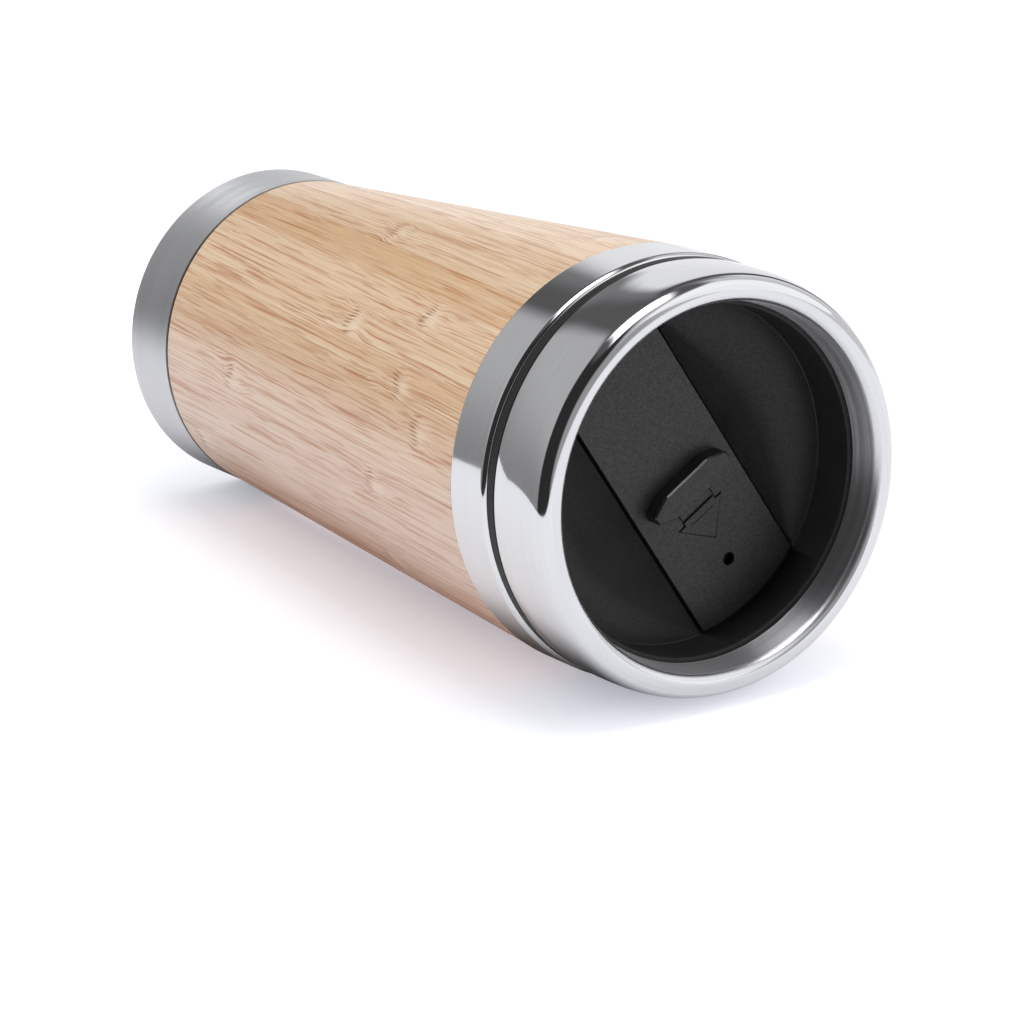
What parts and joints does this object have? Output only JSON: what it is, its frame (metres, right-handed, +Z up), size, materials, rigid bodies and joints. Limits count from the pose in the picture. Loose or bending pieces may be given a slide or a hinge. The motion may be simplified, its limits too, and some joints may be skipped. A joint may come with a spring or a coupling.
{
  "type": "insulated tumbler",
  "caption": "Tapered double-walled travel tumbler with a bamboo sleeve, steel base and collar, and a push-in lid with a steel rim and a sliding drinking closure.",
  "frame": {"origin": "centre of the base's underside, where the tumbler stands", "axes": "+Z up along the tumbler's axis, the arrow on the lid's slider points along -X"},
  "size_m": [0.082, 0.082, 0.1681],
  "materials": {
    "base_cup": "satin brushed steel",
    "base_joint_ring": "matt black",
    "bamboo_sleeve": "clear satin lacquer over bamboo",
    "outer_shell": "polished steel collar",
    "inner_cup": "satin steel",
    "lid_insert": "fine matt grain, black",
    "lid_gasket": "black silicone",
    "lid_rim": "polished steel",
    "slider": "fine matt grain, black",
    "slider_seal": "black silicone",
    "slider_clip": "matt black"
  },
  "bodies": {
    "cup": {"base_cup": "base_cup", "base_joint_ring": "base_joint_ring", "bamboo_sleeve": "bamboo_sleeve", "outer_shell": "outer_shell", "inner_cup": "inner_cup"},
    "lid": {"lid_insert": "lid_insert", "lid_gasket": "lid_gasket", "lid_rim": "lid_rim"},
    "slider": {"slider": "slider", "slider_seal": "slider_seal", "slider_clip": "slider_clip"}
  },
  "joints": [
    {"name": "lid_pull", "type": "slide", "parent": "cup", "child": "lid", "axis": [0, 0, 1], "range_m": [0, 0.02]},
    {"name": "slider_slide", "type": "slide", "parent": "lid", "child": "slider", "axis": [-1, 0, 0], "range_m": [0, 0.0052]}
  ]
}
